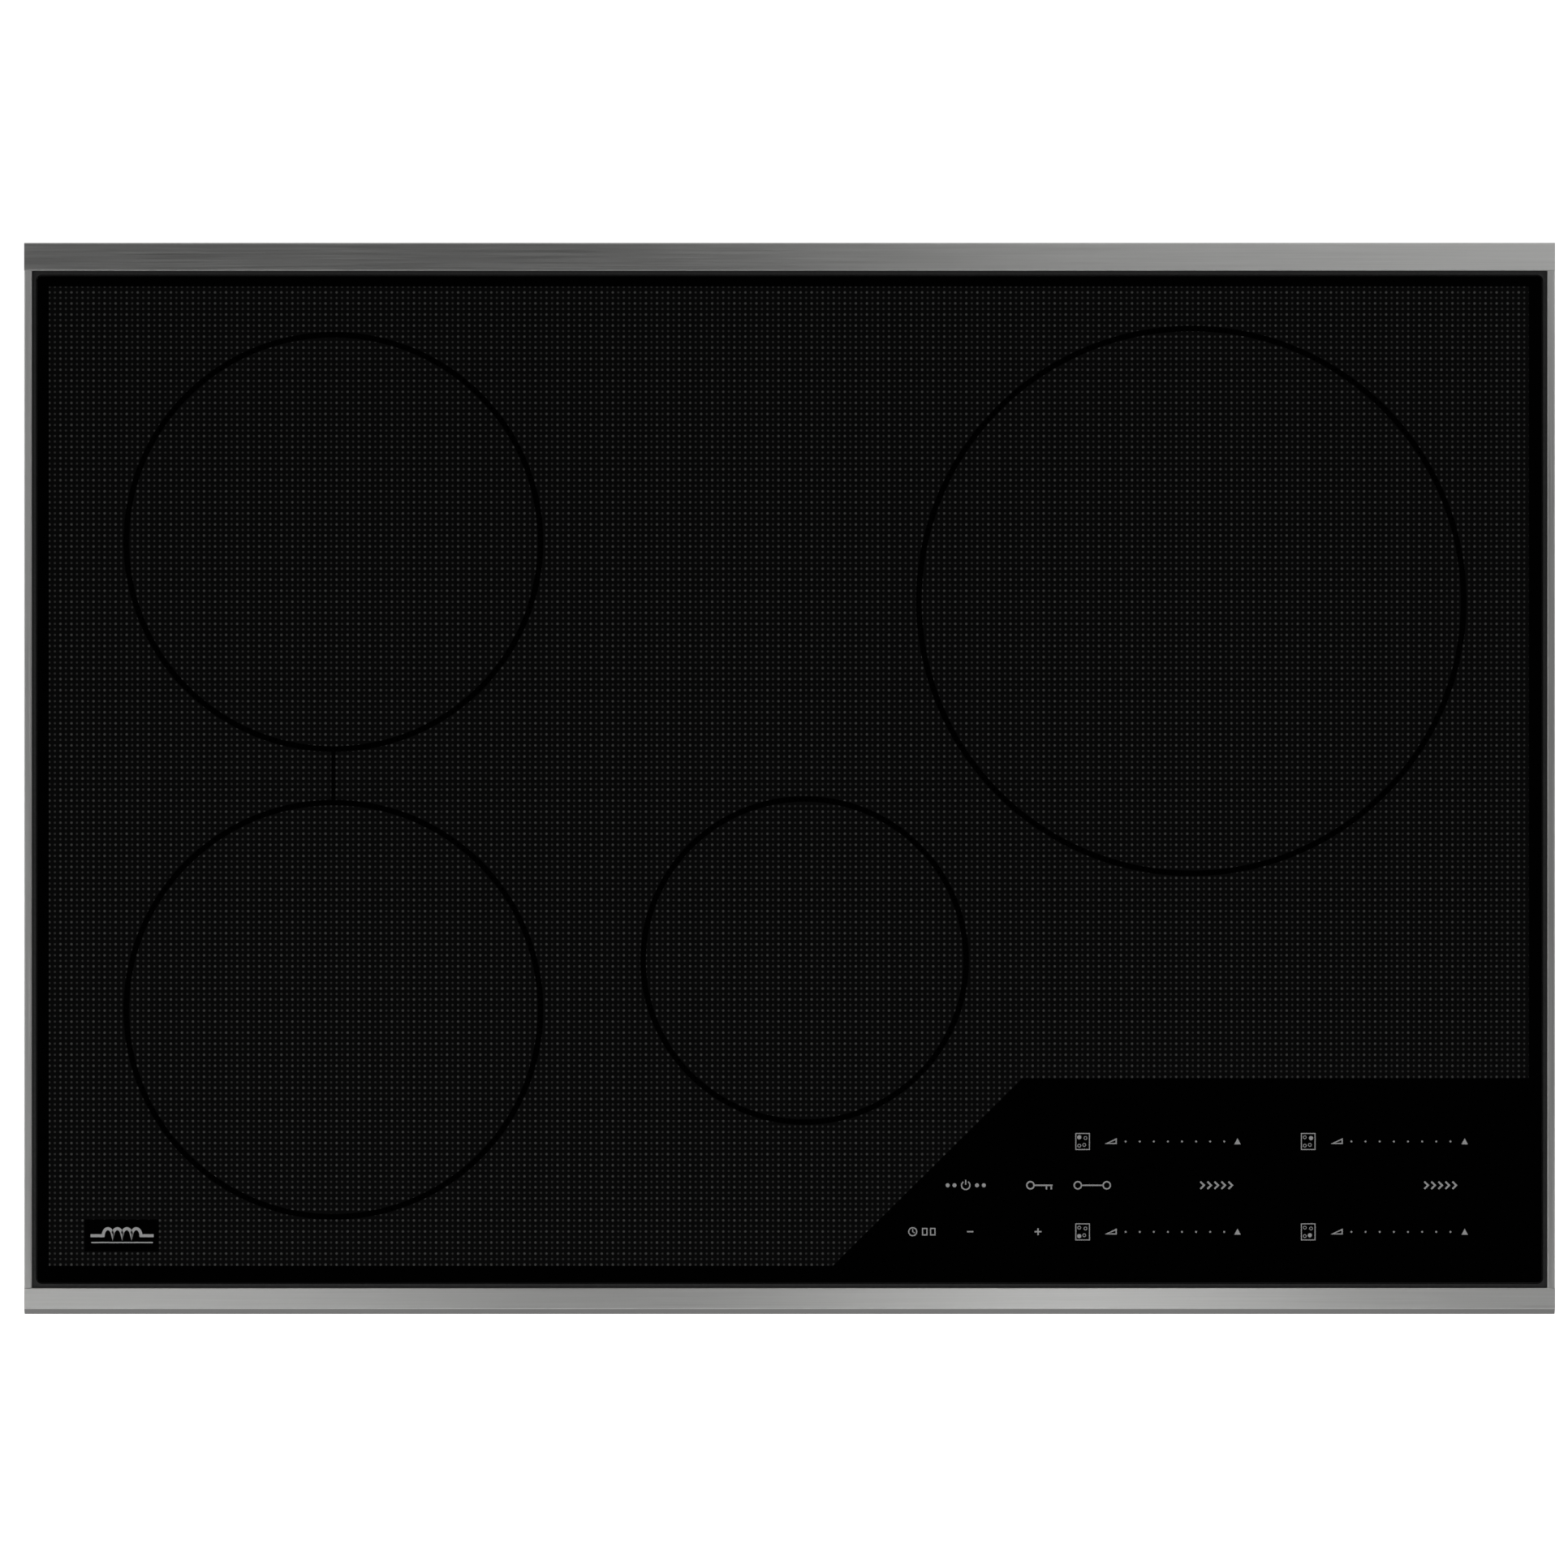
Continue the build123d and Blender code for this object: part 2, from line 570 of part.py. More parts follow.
def power_board_parts(x, y, top):
    """A power board's heatsink, transistors, capacitors and chokes, as four lists of solids."""
    wide, long, tall = HEATSINK
    left, front, back = x - wide / 2, y - long / 2, y + long / 2
    sink = block(left, left + wide, front, back, top, top + 5)
    for k in range(FINS):
        fin = left + k * (wide - FIN_T) / (FINS - 1)
        sink += block(fin, fin + FIN_T, front, back, top + 5, top + tall)
    transistors, capacitors, chokes = [], [], []
    for side in (-1, 1):
        tx, cx = x + side * (wide / 2 + 2.5), x + side * 58
        for k in range(4):
            ty, cy = y - 78 + k * 52, y - 95 + k * 45
            transistors.append(block(tx - 2.5, tx + 2.5, ty - 8, ty + 8, top + 0.5, top + 20.5))
            can = block(cx - 8, cx + 8, cy - 16, cy + 16, top, top + 26)
            capacitors.append(fillet(can.edges().filter_by(Axis.Z), 2.0))
        chokes.append(disc(cx, y + 92, top, 16, 18) - disc(cx, y + 92, top, 7, 18))
    return [sink], transistors, capacitors, chokes


def filter_board_parts(x, y, top):
    """The filter board's round capacitors and its chokes, as two lists of solids."""
    capacitors, chokes = [], []
    for k in range(-1, 2):
        cx = x + k * 52
        can = disc(cx, y - 42, top, 13, 38)
        capacitors.append(fillet(can.edges().sort_by(Axis.Z)[-1], 1.5))
        chokes.append(disc(cx, y + 40, top, 19, 22) - disc(cx, y + 40, top, 9, 22))
    return capacitors, chokes


def make_boards():
    """Power boards, filter board, their supports, heatsinks and the parts that stand on them."""
    top = BOARD_Z + BOARD_T
    keep("power_board_left", board(POWER_BOARDS[0]))
    keep("power_board_right", board(POWER_BOARDS[1]))
    keep("filter_board", board(FILTER_BOARD))
    supports, sinks, transistors = [], [], []
    capacitors, chokes = filter_board_parts(*FILTER_BOARD[:2], top)
    for spec in POWER_BOARDS + [FILTER_BOARD]:
        for x, y in board_corners(spec):
            foot = disc(x, y, FLOOR_TOP, 4.0, BOARD_Z - FLOOR_TOP)
            supports.append(foot + disc(x, y, BOARD_Z, 1.8, 3.5))
    for x, y, _, _ in POWER_BOARDS:
        groups = power_board_parts(x, y, top)
        for pool, group in zip((sinks, transistors, capacitors, chokes), groups):
            pool += group
    keep("board_supports", Compound(supports))
    keep("heatsinks", Compound(sinks))
    keep("power_transistors", Compound(transistors))
    keep("capacitors", Compound(capacitors))
    keep("chokes", Compound(chokes))


def make_touch_control():
    """The touch board under the glass, its plastic tray, and the ribbon cable to the filter board."""
    cx, cy = TOUCH_CENTRE
    hx, hy = TOUCH_SIZE[0] / 2, TOUCH_SIZE[1] / 2
    board_z = GLASS_BOTTOM - 0.3 - BOARD_T - 3.0
    top = board_z + BOARD_T
    bottom = board_z - TOUCH_TRAY_DROP
    keep("touch_board", plate(cx - hx, cx + hx, cy - hy, cy + hy, board_z, top, 2.0))
    pads = []
    for column in range(TOUCH_COLUMNS):
        for row in (-1, 1):
            x, y = cx - hx + 18 + column * TOUCH_PITCH, cy + row * 19
            pads.append(disc(x, y, top, 4.5, 2.8) - disc(x, y, top, 3.6, 2.8))
    keep("touch_springs", Compound(pads))
    tray = plate(cx - hx - 3, cx + hx + 3, cy - hy - 3, cy + hy + 3, bottom, top, 4.0)
    tray -= plate(cx - hx, cx + hx, cy - hy, cy + hy, board_z, HEIGHT, 2.0)
    tray -= block(cx - hx + 4, cx + hx - 4, cy - hy + 4, cy + hy - 4, board_z - 2, HEIGHT)
    for i in (-1, 1):
        for k in (-1, 1):
            x, y = cx + i * (hx - 10), cy + k * (hy - 8)
            tray += disc(x, y, TRAY_TOP, 4.0, bottom - TRAY_TOP) + disc(x, y, TRAY_TOP, 7.0, 2.0)
    keep("touch_board_tray", tray)
    make_ribbon(board_z)


def make_ribbon(board_z):
    """A flat cable from the touch board's tray, through the coil tray's slot, to the filter board."""
    start = TOUCH_CENTRE[1] + TOUCH_SIZE[1] / 2 + 3
    level = board_z - 2.5
    board_top = BOARD_Z + BOARD_T
    end_y = FILTER_BOARD[1] - FILTER_BOARD[3] / 2 + 6
    route = [(start, level), (RIBBON_Y, level), (RIBBON_Y, 40.0), (-80.0, 26.0), (end_y, board_top + 5)]
    run = FilletPolyline(*route, radius=[3.0, 14.0, 14.0])
    middle = (RIBBON_X[0] + RIBBON_X[1]) / 2
    width = RIBBON_X[1] - RIBBON_X[0] - 4
    path = (Plane.YZ.offset(middle) * run).wire()
    plane = Plane(origin=(middle, start, level), x_dir=(1, 0, 0), z_dir=(0, 1, 0))
    section = plane * Rectangle(width, RIBBON_T)
    half = width / 2 + 1
    plug = block(middle - half, middle + half, end_y - 4, end_y + 4, board_top, board_top + 9)
    keep("ribbon_cable", sweep(section, path=path) + plug)


# ---------------------------------------------------------------- blowers


def make_blower(name, x, y):
    """A radial blower: scroll housing, a motor on its lid, and the impeller. Returns the lid."""
    z0, z1 = FLOOR_TOP, FLOOR_TOP + BLOWER_H
    wall = BLOWER_WALL

    def scroll(grow, low, high):
        body = disc(x, y, low, SCROLL_R + grow, high - low)
        duct = block(x - SCROLL_R - grow, x + 4 + grow, y, y + 78, low, high)
        return body + duct

    housing = scroll(0, z0, z1 - wall) - scroll(-wall, z0 + wall, z1)
    housing -= block(x - SCROLL_R + wall, x + 4 - wall, y + 70, y + 90, z0 + wall, z1)
    housing -= disc(x, y, z0 - 1, INLET_R, 10)
    keep(f"blower_housing_{name}", housing)
    lid = scroll(0, z1 - wall, z1)

    motor = disc(x, y, z1 - wall - 3, 19.0, 3) + disc(x, y, z1 - wall - 15, 14.0, 12)
    motor += disc(x, y, z1 - wall - 20, 4.0, 6)
    motor -= disc(x, y, z1 - wall - 20.5, SHAFT_R + BEARING_CLEARANCE, 19)
    keep(f"blower_motor_{name}", motor)

    low, high = z0 + wall + 1.5, z1 - wall - 4.0
    cup = disc(x, y, low, IMPELLER_HUB_R, high - low) - disc(x, y, low + 2, IMPELLER_HUB_R - 2.0, high)
    back_plate = disc(x, y, high - 1.6, IMPELLER_R, 1.6) - disc(x, y, high - 2, IMPELLER_HUB_R - 2.0, 3)
    inlet_ring = disc(x, y, low, IMPELLER_R, 1.6) - disc(x, y, low - 1, IMPELLER_R - 9, 4)
    shaft = disc(x, y, low, SHAFT_R, high - low - 1)
    blades = []
    for k in range(BLADES):
        angle = 360 / BLADES * k
        blade = Rot(0, 0, 35) * block(-6.0, 6.0, -0.5, 0.5, low + 0.4, high - 0.4)
        blades.append(Pos(x, y, 0) * Rot(0, 0, angle) * Pos(IMPELLER_R - 6.2, 0, 0) * blade)
    keep(f"blower_impeller_{name}", cup + [back_plate, inlet_ring, shaft] + blades)
    return lid


# ---------------------------------------------------------------- clamps


def clamp_screw_spots():
    """A clamp bracket's two screws, as (y, z)."""
    return [(-14.0, 24.0), (14.0, 24.0)]


def make_bracket(side):
    """A clamp's bracket: an upright on the box's wall, and an arm with gussets and a threaded boss."""
    wall, tip = side * BOX_X, side * (WIDTH / 2 - 1.5)
    x = side * CLAMP_X
    low, high = sorted((wall, wall + side * BRACKET_T))
    upright = block(low, high, -22, 22, 14, ARM_Z + ARM_T)
    low, high = sorted((wall, tip))
    arm = block(low, high, -12, 12, ARM_Z, ARM_T + ARM_Z)
    tip_edges = arm.edges().filter_by(Axis.Z).filter_by(lambda e: abs(e.center().X - tip) < 1)
    bracket = upright + fillet(tip_edges, 4.0)
    bracket += disc(x, 0, ARM_Z - BOSS_H, 5.2, BOSS_H)
    low, high = sorted((wall, wall + side * 5.0))
    for y in (-11, 11):
        bracket += block(low, high, y - 1.0, y + 1.0, 28, ARM_Z)
    bracket -= disc(x, 0, 0, SCREW_R + THREAD_CLEARANCE, HEIGHT)
    for y, z in clamp_screw_spots():
        bracket -= Pos(wall, y, z) * Rot(0, 90, 0) * Cylinder(SHEET_HOLE_R, 10)
    return bracket


def make_clamps():
    """Hold-down clamps: a bracket on each side wall, a thumb screw in it and a swivelling pad."""
    keep("clamp_brackets", Compound([make_bracket(-1), make_bracket(1)]))
    for name, side in (("left", -1), ("right", 1)):
        x = side * CLAMP_X
        head_top = HEAD_Z + HEAD_T
        screw = disc(x, 0, head_top, SCREW_R, PAD_Z - head_top - 0.4)
        screw += disc(x, 0, PAD_Z - 0.5, TIP_R, 4.5)
        screw += extrude(Pos(x, 0, HEAD_Z) * RectangleRounded(2 * HEAD_R, 3.2, 1.5), HEAD_T)
        keep(f"clamp_screw_{name}", screw + disc(x, 0, HEAD_Z, 4.0, HEAD_T))
        pad = fillet(disc(x, 0, PAD_Z, PAD_R, PAD_T).edges().sort_by(Axis.Z)[-1], 0.8)
        keep(f"clamp_pad_{name}", pad - disc(x, 0, PAD_Z - 1, TIP_R + THREAD_CLEARANCE, 5.2))


def main():
    """Makes every piece and writes one STEP file for each node."""
    make_glass()
    make_glass_seal()
    make_bar("trim_rear", TRIM_BACK, 1, 0.6)
    make_bar("trim_front", TRIM_FRONT, -1, 3.0)
    make_side_rail("trim_left", -1)
    make_side_rail("trim_right", 1)
    make_wall_screws()
    make_gasket()
    make_burner_box()
    make_supply_inlet()
    make_tray()
    make_standoffs()
    for zone in ZONES:
        make_coil(*zone)
    make_sensors()
    make_boards()
    make_touch_control()
    keep("blower_lids", Compound([make_blower(*blower) for blower in BLOWERS]))
    make_clamps()
    for name, shape in PARTS.items():
        export_step(shape, f"parts/{name}.step")


main()
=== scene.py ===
import json
import math

import bmesh
import bpy
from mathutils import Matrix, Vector


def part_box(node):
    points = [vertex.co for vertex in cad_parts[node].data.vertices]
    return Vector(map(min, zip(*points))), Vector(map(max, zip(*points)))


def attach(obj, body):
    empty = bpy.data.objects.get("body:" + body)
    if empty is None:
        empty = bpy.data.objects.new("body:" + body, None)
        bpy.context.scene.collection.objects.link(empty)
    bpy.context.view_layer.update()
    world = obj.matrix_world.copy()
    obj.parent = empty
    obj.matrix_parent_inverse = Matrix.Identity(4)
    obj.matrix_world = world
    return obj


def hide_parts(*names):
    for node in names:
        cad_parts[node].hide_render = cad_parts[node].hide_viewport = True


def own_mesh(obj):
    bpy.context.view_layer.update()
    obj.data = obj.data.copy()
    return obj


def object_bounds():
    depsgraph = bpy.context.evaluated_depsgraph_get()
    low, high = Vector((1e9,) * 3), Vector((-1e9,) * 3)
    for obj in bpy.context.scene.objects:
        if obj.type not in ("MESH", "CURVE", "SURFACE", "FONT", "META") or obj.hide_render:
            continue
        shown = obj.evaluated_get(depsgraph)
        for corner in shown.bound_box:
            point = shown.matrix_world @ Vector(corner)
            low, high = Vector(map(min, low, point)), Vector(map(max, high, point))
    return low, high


# The looks of a built-in induction cooktop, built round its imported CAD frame.
# Metres, +Z up. The user stands at -Y. Lengths in the tables below are in millimetres.

MM = 0.001
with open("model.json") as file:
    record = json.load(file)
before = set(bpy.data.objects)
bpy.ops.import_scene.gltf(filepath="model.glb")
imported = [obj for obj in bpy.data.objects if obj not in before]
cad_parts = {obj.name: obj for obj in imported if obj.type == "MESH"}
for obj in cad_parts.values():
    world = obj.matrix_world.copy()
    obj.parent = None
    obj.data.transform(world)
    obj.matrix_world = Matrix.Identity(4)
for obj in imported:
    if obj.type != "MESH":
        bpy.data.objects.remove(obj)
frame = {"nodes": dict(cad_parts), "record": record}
cad_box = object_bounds()
NODES = frame["nodes"]

BOX_LOW, BOX_HIGH = cad_box
GLASS_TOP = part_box("glass_top")[1][2]

# ---------------------------------------------------------------- layout printed on the glass

# The zones: x, y and the radius of the ring's middle line.
ZONES = {
    "left_rear": (-227.1, 117.8, 103.1),
    "left_front": (-227.1, -115.1, 103.1),
    "centre_front": (7.5, -90.6, 80.4),
    "right_rear": (200.0, 88.4, 135.6),
}
RING_WIDTH = 2.8

# The line between the two left rings: x, front end, rear end and width.
BRIDGE = (-227.1, -11.6, 14.2, 2.0)

# The dotted field, and the bare box in it for the mark: left, right, front and rear edge.
FIELD = (-368.7, 368.0, -242.7, 244.9)
MARK_BOX = (-351.0, -314.0, -235.5, -219.5)

# The control panel's rear left corner. Its left edge slants: it runs this far left for each step forward.
PANEL_CORNER = (115.9, -149.2)
PANEL_SLOPE = 1.0118

# Every second dot of every second row is larger and at full strength. A dot's edge fades over twice DOT_FADE.
DOT_PITCH = 2.75
DOT_RADIUS = 0.52
DOT_FADE = 0.12
STRONG_DOT_GROWTH = 1.15
WEAK_DOT_STRENGTH = 0.55

INK_HEIGHT = 0.05


# ---------------------------------------------------------------- helpers

# A Mix node has sockets for each kind of data. These are the numbers of its colour sockets.
MIX_FACTOR, MIX_FIRST, MIX_SECOND, MIX_RESULT = 0, 6, 7, 2


def add_object(name, data):
    """A new object in the scene that shows the data."""
    made = bpy.data.objects.new(name, data)
    bpy.context.scene.collection.objects.link(made)
    return made


def shade(colour, factor):
    """The colour made darker, or lighter where the factor is above 1."""
    return tuple(c * factor for c in colour)


class Paint:
    """A material with one Principled shader, and short ways to add patterns to it."""

    def __init__(self, name, colour, roughness, metallic=0.0, **sockets):
        self.material = bpy.data.materials.new(name)
        self.material.use_nodes = True
        self.tree = self.material.node_tree
        self.shader = self.tree.nodes["Principled BSDF"]
        self.set("Base Color", (*colour, 1.0))
        self.set("Roughness", roughness)
        self.set("Metallic", metallic)
        for socket, value in sockets.items():
            self.set(socket.replace("_", " "), value)
        self.place = None

    def set(self, socket, value):
        self.shader.inputs[socket].default_value = value

    def drive(self, socket, source):
        self.tree.links.new(source, self.shader.inputs[socket])

    def node(self, kind, **settings):
        made = self.tree.nodes.new(kind)
        for key, value in settings.items():
            setattr(made, key, value)
        return made

    def feed(self, target, value):
        """Sets a socket to a number, or links it to another node's output."""
        if isinstance(value, bpy.types.NodeSocket):
            self.tree.links.new(value, target)
        elif value is not None:
            target.default_value = value

    def math(self, operation, a, b=None, c=None):
        made = self.node("ShaderNodeMath", operation=operation)
        for target, value in zip(made.inputs, (a, b, c)):
            self.feed(target, value)
        return made.outputs[0]

    def coordinates(self, stretch=(1.0, 1.0, 1.0)):
        """The point on the piece in metres, with each axis multiplied by its stretch."""
        if self.place is None:
            self.place = self.node("ShaderNodeTexCoord").outputs["Object"]
        made = self.node("ShaderNodeVectorMath", operation="MULTIPLY")
        self.feed(made.inputs[0], self.place)
        made.inputs[1].default_value = stretch
        return made.outputs[0]

    def axes(self):
        """The point's x, y and z in millimetres."""
        made = self.node("ShaderNodeSeparateXYZ")
        self.feed(made.inputs[0], self.coordinates((1 / MM,) * 3))
        return made.outputs

    def noise(self, scale, stretch=(1.0, 1.0, 1.0), detail=3.0, roughness=0.55):
        made = self.node("ShaderNodeTexNoise")
        self.feed(made.inputs["Vector"], self.coordinates(stretch))
        made.inputs["Scale"].default_value = scale
        made.inputs["Detail"].default_value = detail
        made.inputs["Roughness"].default_value = roughness
        return made.outputs["Fac"]

    def cells(self, scale, output="Distance"):
        made = self.node("ShaderNodeTexVoronoi")
        self.feed(made.inputs["Vector"], self.coordinates())
        made.inputs["Scale"].default_value = scale
        return made.outputs[output]

    def waves(self, scale, direction, distortion):
        made = self.node("ShaderNodeTexWave", bands_direction=direction)
        self.feed(made.inputs["Vector"], self.coordinates())
        made.inputs["Scale"].default_value = scale
        made.inputs["Distortion"].default_value = distortion
        return made.outputs["Fac"]

    def spread(self, source, low, high, start=0.3, end=0.7):
        """Maps a pattern's usual range, start to end, onto low to high."""
        made = self.node("ShaderNodeMapRange")
        names = ("Value", "From Min", "From Max", "To Min", "To Max")
        for name, value in zip(names, (source, start, end, low, high)):
            self.feed(made.inputs[name], value)
        return made.outputs[0]

    def blend(self, factor, first, second):
        """The first colour where the factor is 0, and the second where it is 1."""
        made = self.node("ShaderNodeMix", data_type="RGBA")
        self.feed(made.inputs[MIX_FACTOR], factor)
        for index, colour in ((MIX_FIRST, first), (MIX_SECOND, second)):
            value = (*colour, 1.0) if isinstance(colour, tuple) else colour
            self.feed(made.inputs[index], value)
        return made.outputs[MIX_RESULT]

    def tint(self, pattern, dark, light, start=0.3, end=0.7):
        """Colours the surface from dark to light as the pattern goes from start to end."""
        self.drive("Base Color", self.blend(self.spread(pattern, 0.0, 1.0, start, end), dark, light))

    def bump(self, height, depth, strength):
        """Bumps of the given depth in millimetres."""
        made = self.node("ShaderNodeBump")
        made.inputs["Strength"].default_value = strength
        made.inputs["Distance"].default_value = depth * MM
        self.feed(made.inputs["Height"], height)
        self.drive("Normal", made.outputs[0])


# ---------------------------------------------------------------- the glass


def within(paint, value, low, high):
    """1 where value lies between low and high, else 0."""
    above = paint.math("GREATER_THAN", value, low)
    return paint.math("MULTIPLY", above, paint.math("LESS_THAN", value, high))


def inside(paint, x, y, edges):
    """1 inside a rectangle given by its left, right, front and rear edge, else 0."""
    left, right, front, rear = edges
    return paint.math("MULTIPLY", within(paint, x, left, right), within(paint, y, front, rear))


def length(paint, dx, dy):
    """The length of a step of dx and dy."""
    squares = paint.math("ADD", paint.math("MULTIPLY", dx, dx), paint.math("MULTIPLY", dy, dy))
    return paint.math("SQRT", squares)


def nearest_dot(paint, x, y, pitch):
    """How far a point is from the nearest dot of a square grid."""
    return length(paint, paint.math("PINGPONG", x, pitch / 2), paint.math("PINGPONG", y, pitch / 2))


def disc_mask(paint, distance, radius):
    """1 inside a dot, falling to 0 across its soft edge."""
    return paint.spread(distance, 1.0, 0.0, radius - DOT_FADE, radius + DOT_FADE)


def bare_areas(paint, x, y):
    """1 in the parts of the field without dots: rings, bridge line, panel and the mark's box."""
    masks = []
    for cx, cy, radius in ZONES.values():
        distance = length(paint, paint.math("SUBTRACT", x, cx), paint.math("SUBTRACT", y, cy))
        masks.append(within(paint, distance, radius - RING_WIDTH / 2, radius + RING_WIDTH / 2))
    bridge_x, front, rear, width = BRIDGE
    masks.append(inside(paint, x, y, (bridge_x - width / 2, bridge_x + width / 2, front, rear)))
    panel_x, panel_y = PANEL_CORNER
    run = paint.math("MULTIPLY", paint.math("SUBTRACT", y, panel_y), PANEL_SLOPE)
    right_of_edge = paint.math("GREATER_THAN", paint.math("SUBTRACT", x, panel_x), run)
    masks.append(paint.math("MULTIPLY", right_of_edge, paint.math("LESS_THAN", y, panel_y)))
    masks.append(inside(paint, x, y, MARK_BOX))
    total = masks[0]
    for mask in masks[1:]:
        total = paint.math("MAXIMUM", total, mask)
    return total


def glass_paint():
    """Black glass-ceramic with a fine printed dot field on its top face."""
    paint = Paint("black_glass", (0.0, 0.0, 0.0), 0.06, Specular_IOR_Level=0.5)
    x, y, z = paint.axes()
    weak = disc_mask(paint, nearest_dot(paint, x, y, DOT_PITCH), DOT_RADIUS)
    strong = disc_mask(paint, nearest_dot(paint, x, y, 2 * DOT_PITCH), DOT_RADIUS * STRONG_DOT_GROWTH)
    dots = paint.math("MAXIMUM", paint.math("MULTIPLY", weak, WEAK_DOT_STRENGTH), strong)
    on_top = paint.math("GREATER_THAN", z, GLASS_TOP / MM - 0.1)
    field = paint.math("MULTIPLY", inside(paint, x, y, FIELD), on_top)
    printed = paint.math("MULTIPLY", field, paint.math("SUBTRACT", 1.0, bare_areas(paint, x, y)))
    cover = paint.math("MULTIPLY", dots, printed)
    ground = paint.blend(printed, (0.0001, 0.0001, 0.0001), (0.0036, 0.0036, 0.0036))
    paint.drive("Base Color", paint.blend(cover, ground, (0.058, 0.058, 0.0567)))
    smear = paint.noise(9.0, detail=5.0)
    matt = paint.math("MULTIPLY", cover, 0.12)
    paint.drive("Roughness", paint.math("ADD", paint.spread(smear, 0.045, 0.075), matt))
    return paint.material


# ---------------------------------------------------------------- the other finishes

STEEL = (0.60, 0.60, 0.59)
STEEL_ROUGHNESS = 0.40

# The tangent of brushed metal lies across its scratches and also has this much of Z,
# so that walls which face across the scratches have one too.
TANGENT_RISE = 0.35

# The front bar's sloped outer edge looks darker than its flat top, as it reflects dim light. Here that is
# painted shade, a darker base colour on the edge.
FRONT_EDGE_WIDTH = 2.6
FRONT_EDGE_PAINTED_SHADE = 0.46

TRACK_PITCH = 1.8


def brushed(name, colour, roughness, along, fineness=1.0, painted_shade_y=None):
    """Brushed metal whose scratches run along X or Y. In front of the given Y its colour is darker, as
    painted shade.
    """
    paint = Paint(name, colour, roughness, 1.0, Anisotropic=0.8)
    slow, fast = 12.0 * fineness, 1800.0 * fineness
    if along == "X":
        stretch, across = (slow, fast, fast), (0.0, 1.0, TANGENT_RISE)
    else:
        stretch, across = (fast, slow, fast), (1.0, 0.0, TANGENT_RISE)
    tangent = paint.node("ShaderNodeCombineXYZ")
    for socket, value in zip(tangent.inputs, across):
        socket.default_value = value
    paint.drive("Tangent", tangent.outputs[0])
    streaks = paint.noise(1.0, stretch, detail=4.0, roughness=0.7)
    cloud = paint.noise(11.0, detail=3.0)
    scratched = paint.spread(streaks, roughness - 0.06, roughness + 0.06)
    paint.drive("Roughness", paint.math("ADD", scratched, paint.spread(cloud, -0.015, 0.02)))
    steel = paint.blend(paint.spread(streaks, 0.0, 1.0), shade(colour, 0.92), shade(colour, 1.05))
    if painted_shade_y is not None:
        # Painted shade: in front of this Y the base colour is darkened, standing in for the dim light on the
        # front bar's sloped edge.
        edge = paint.math("LESS_THAN", paint.axes()[1], painted_shade_y)
        steel = paint.blend(edge, steel, shade(colour, FRONT_EDGE_PAINTED_SHADE))
    paint.drive("Base Color", steel)
    paint.bump(streaks, 0.02, 0.35)
    return paint.material


def galvanised():
    """Zinc-coated sheet with a faint spangle."""
    paint = Paint("galvanised_steel", (0.36, 0.37, 0.38), 0.42, 1.0)
    crystal = paint.node("ShaderNodeSeparateColor")
    paint.feed(crystal.inputs[0], paint.cells(190.0, output="Color"))
    cloud = paint.noise(9.0, detail=6.0)
    scratch = paint.noise(1.0, (30.0, 30.0, 900.0), detail=3.0)
    spangle = paint.math("MULTIPLY_ADD", crystal.outputs[0], 0.3, paint.math("MULTIPLY", cloud, 0.5))
    mixed = paint.math("MULTIPLY_ADD", scratch, 0.2, spangle)
    paint.tint(mixed, (0.25, 0.262, 0.275), (0.41, 0.425, 0.44), 0.3, 0.75)
    paint.drive("Roughness", paint.spread(mixed, 0.36, 0.52, 0.3, 0.75))
    paint.bump(scratch, 0.05, 0.4)
    return paint.material


def plated(name, colour, roughness=0.32):
    """Zinc-plated or bright small metal parts."""
    paint = Paint(name, colour, roughness, 1.0)
    grain = paint.noise(900.0, detail=2.0)
    cloud = paint.noise(120.0, detail=3.0)
    paint.tint(cloud, shade(colour, 0.82), colour)
    paint.drive("Roughness", paint.spread(grain, roughness - 0.05, roughness + 0.1))
    paint.bump(grain, 0.01, 0.5)
    return paint.material


def moulded(name, colour, roughness, grain=1400.0, depth=0.02, drift=0.12):
    """Plastic, rubber or ceramic with a fine grain of the given depth in millimetres."""
    paint = Paint(name, colour, roughness)
    fine = paint.noise(grain, detail=2.0)
    cloud = paint.noise(25.0, detail=3.0)
    paint.tint(cloud, shade(colour, 1 - drift), shade(colour, 1 + drift))
    paint.drive("Roughness", paint.spread(fine, roughness - 0.06, roughness + 0.08))
    paint.bump(fine, depth, 0.6)
    return paint.material


def foam():
    """Closed-cell foam: small round pores."""
    paint = Paint("black_foam", (0.03, 0.03, 0.03), 0.9)
    pores = paint.cells(1500.0)
    paint.tint(pores, (0.012, 0.012, 0.012), (0.045, 0.045, 0.045), 0.1, 0.6)
    paint.drive("Roughness", paint.spread(pores, 0.82, 0.95, 0.1, 0.6))
    paint.bump(pores, 0.15, 0.7)
    return paint.material


